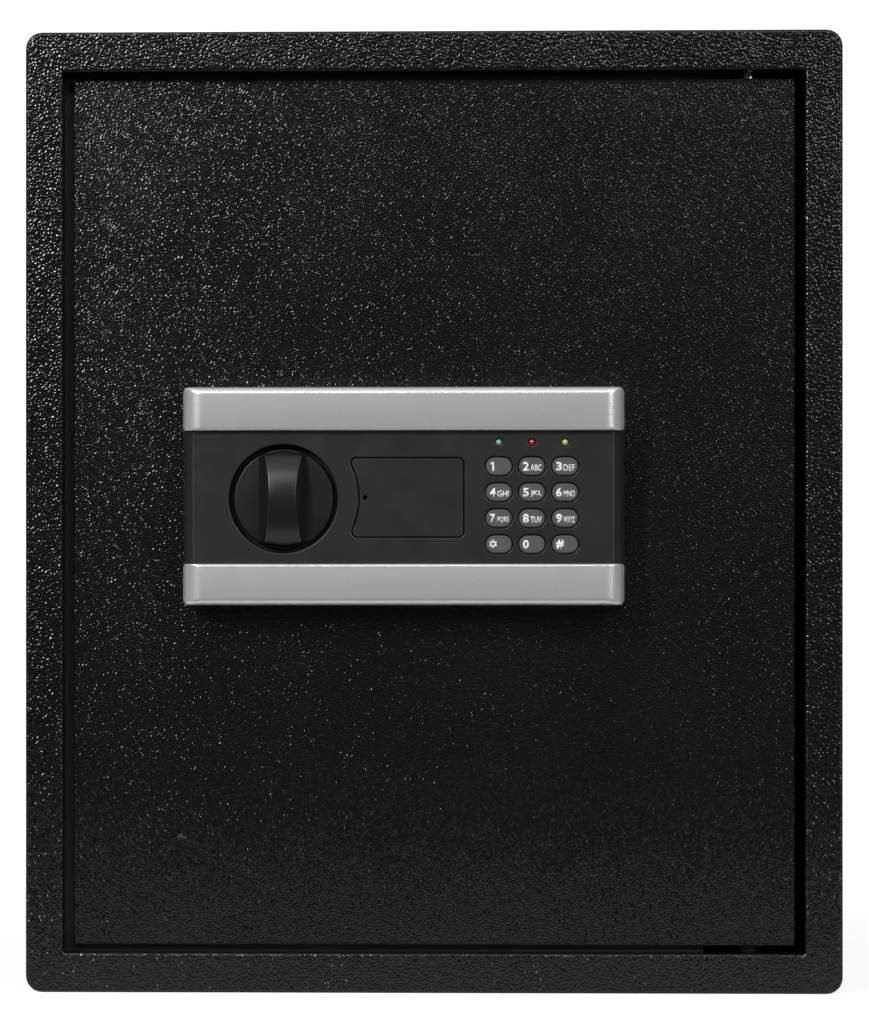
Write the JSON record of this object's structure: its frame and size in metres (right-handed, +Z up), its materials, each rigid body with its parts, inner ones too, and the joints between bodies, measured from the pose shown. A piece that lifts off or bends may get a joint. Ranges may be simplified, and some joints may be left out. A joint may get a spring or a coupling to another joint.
{
  "type": "safe deposit box",
  "caption": "Steel safe deposit box with a recessed hinged door, keypad panel, turning knob, key override, sliding round bolts, inner cover and shelf.",
  "frame": {"origin": "on the floor, under the middle of the box around the whole object", "axes": "+Z up, front with the door faces -Y, +X to the right seen from the front (hinge side)"},
  "size_m": [0.35, 0.346, 0.412],
  "materials": {
    "powder_coat": "wrinkled satin powder coat",
    "carpet": "short grey felt",
    "shelf_paint": "satin powder coat",
    "hinge_steel": "ground",
    "washer_brass": "turned",
    "black_plastic": "satin moulded",
    "silver_plastic": "silver lacquer",
    "spindle_steel": "zinc plated",
    "lock_chrome": "polished",
    "lock_brass": "machined",
    "zinc_plate": "zinc plated",
    "bolt_steel": "turned",
    "lamp_green": "clear tinted",
    "lamp_red": "clear tinted",
    "lamp_yellow": "clear tinted",
    "key_grey": "matt silicone",
    "silicone": "matt",
    "board_green": "solder mask",
    "coil_tape": "wound tape",
    "cover_paint": "satin powder coat",
    "screw_zinc": "zinc plated",
    "battery_plastic": "moulded",
    "battery_wrap": "printed sleeve",
    "button_red": "moulded"
  },
  "bodies": {
    "cabinet": {"front_frame": "powder_coat", "cabinet_wrap": "powder_coat", "back_panel": "powder_coat", "door_stop": "powder_coat", "shelf_supports": "powder_coat", "floor_mat": "carpet"},
    "door": {"door_plate": "powder_coat", "hinge_lugs": "powder_coat", "hinge_pin_top": "hinge_steel", "hinge_pin_bottom": "hinge_steel", "hinge_washer": "washer_brass", "panel_housing": "black_plastic", "top_bar": "silver_plastic", "bottom_bar": "silver_plastic", "lock_barrel": "lock_chrome", "lock_nut": "spindle_steel", "link_stud": "spindle_steel", "green_lamp": "lamp_green", "red_lamp": "lamp_red", "yellow_lamp": "lamp_yellow", "key_mat": "silicone", "circuit_board": "board_green", "bolt_guide": "zinc_plate", "guide_studs": "spindle_steel", "solenoid_frame": "zinc_plate", "solenoid_coil": "coil_tape", "plunger_spring": "bolt_steel", "inner_cover": "cover_paint", "cover_screws": "screw_zinc", "panel_screws": "screw_zinc", "battery_box": "battery_plastic", "batteries": "battery_wrap"},
    "shelf": {"shelf": "shelf_paint", "shelf_mat": "carpet"},
    "knob": {"knob": "black_plastic", "knob_spindle": "spindle_steel", "crank_disc": "spindle_steel"},
    "bolt_work": {"bolt_carriage": "zinc_plate", "upper_bolt": "bolt_steel", "lower_bolt": "bolt_steel", "bolt_rivets": "spindle_steel"},
    "lock_plug": {"lock_plug": "lock_brass"},
    "override_link": {"override_link": "zinc_plate"},
    "plunger": {"plunger": "bolt_steel"},
    "override_cover": {"override_cover": "black_plastic"},
    "battery_lid": {"battery_lid": "battery_plastic"},
    "reset_button": {"reset_button": "button_red"},
    "key_1": {"key_1": "key_grey"},
    "key_2": {"key_2": "key_grey"},
    "key_3": {"key_3": "key_grey"},
    "key_4": {"key_4": "key_grey"},
    "key_5": {"key_5": "key_grey"},
    "key_6": {"key_6": "key_grey"},
    "key_7": {"key_7": "key_grey"},
    "key_8": {"key_8": "key_grey"},
    "key_9": {"key_9": "key_grey"},
    "key_star": {"key_star": "key_grey"},
    "key_0": {"key_0": "key_grey"},
    "key_hash": {"key_hash": "key_grey"}
  },
  "joints": [
    {"name": "door_hinge", "type": "hinge", "parent": "cabinet", "child": "door", "pos_m": [0.1354, -0.139, 0.206], "axis": [0, 0, 1], "range_deg": [0, 100]},
    {"name": "knob_turn", "type": "hinge", "parent": "door", "child": "knob", "pos_m": [-0.0637, -0.149, 0.2115], "axis": [0, -1, 0], "range_deg": [0, 90]},
    {"name": "bolt_throw", "type": "slide", "parent": "door", "child": "bolt_work", "axis": [-1, 0, 0], "range_m": [0, 0.01697]},
    {"name": "lock_turn", "type": "hinge", "parent": "door", "child": "lock_plug", "pos_m": [-0.0108, -0.149, 0.212], "axis": [0, 1, 0], "range_deg": [0, 90]},
    {"name": "link_lower", "type": "slide", "parent": "door", "child": "override_link", "axis": [0, 0, -1], "range_m": [0, 0.004]},
    {"name": "plunger_slide", "type": "slide", "parent": "door", "child": "plunger", "axis": [0, 0, -1], "range_m": [-0.004, 0]},
    {"name": "override_cover_pull", "type": "slide", "parent": "door", "child": "override_cover", "axis": [0, -1, 0], "range_m": [0, 0.02]},
    {"name": "battery_lid_pull", "type": "slide", "parent": "door", "child": "battery_lid", "axis": [0, 1, 0], "range_m": [0, 0.018]},
    {"name": "reset_press", "type": "slide", "parent": "door", "child": "reset_button", "axis": [0, -1, 0], "range_m": [0, 0.0015], "stiffness_N_per_m": 800},
    {"name": "shelf_lift", "type": "slide", "parent": "cabinet", "child": "shelf", "axis": [0, 0, 1], "range_m": [0, 0.03]},
    {"name": "press_1", "type": "slide", "parent": "door", "child": "key_1", "axis": [0, 1, 0], "range_m": [0, 0.001], "stiffness_N_per_m": 1200},
    {"name": "press_2", "type": "slide", "parent": "door", "child": "key_2", "axis": [0, 1, 0], "range_m": [0, 0.001], "stiffness_N_per_m": 1200},
    {"name": "press_3", "type": "slide", "parent": "door", "child": "key_3", "axis": [0, 1, 0], "range_m": [0, 0.001], "stiffness_N_per_m": 1200},
    {"name": "press_4", "type": "slide", "parent": "door", "child": "key_4", "axis": [0, 1, 0], "range_m": [0, 0.001], "stiffness_N_per_m": 1200},
    {"name": "press_5", "type": "slide", "parent": "door", "child": "key_5", "axis": [0, 1, 0], "range_m": [0, 0.001], "stiffness_N_per_m": 1200},
    {"name": "press_6", "type": "slide", "parent": "door", "child": "key_6", "axis": [0, 1, 0], "range_m": [0, 0.001], "stiffness_N_per_m": 1200},
    {"name": "press_7", "type": "slide", "parent": "door", "child": "key_7", "axis": [0, 1, 0], "range_m": [0, 0.001], "stiffness_N_per_m": 1200},
    {"name": "press_8", "type": "slide", "parent": "door", "child": "key_8", "axis": [0, 1, 0], "range_m": [0, 0.001], "stiffness_N_per_m": 1200},
    {"name": "press_9", "type": "slide", "parent": "door", "child": "key_9", "axis": [0, 1, 0], "range_m": [0, 0.001], "stiffness_N_per_m": 1200},
    {"name": "press_star", "type": "slide", "parent": "door", "child": "key_star", "axis": [0, 1, 0], "range_m": [0, 0.001], "stiffness_N_per_m": 1200},
    {"name": "press_0", "type": "slide", "parent": "door", "child": "key_0", "axis": [0, 1, 0], "range_m": [0, 0.001], "stiffness_N_per_m": 1200},
    {"name": "press_hash", "type": "slide", "parent": "door", "child": "key_hash", "axis": [0, 1, 0], "range_m": [0, 0.001], "stiffness_N_per_m": 1200}
  ],
  "couplings": [
    {"joint": "knob_turn", "follows": "bolt_throw", "rad_per_m": 92.56},
    {"joint": "lock_turn", "follows": "link_lower", "rad_per_m": 392.5}
  ]
}
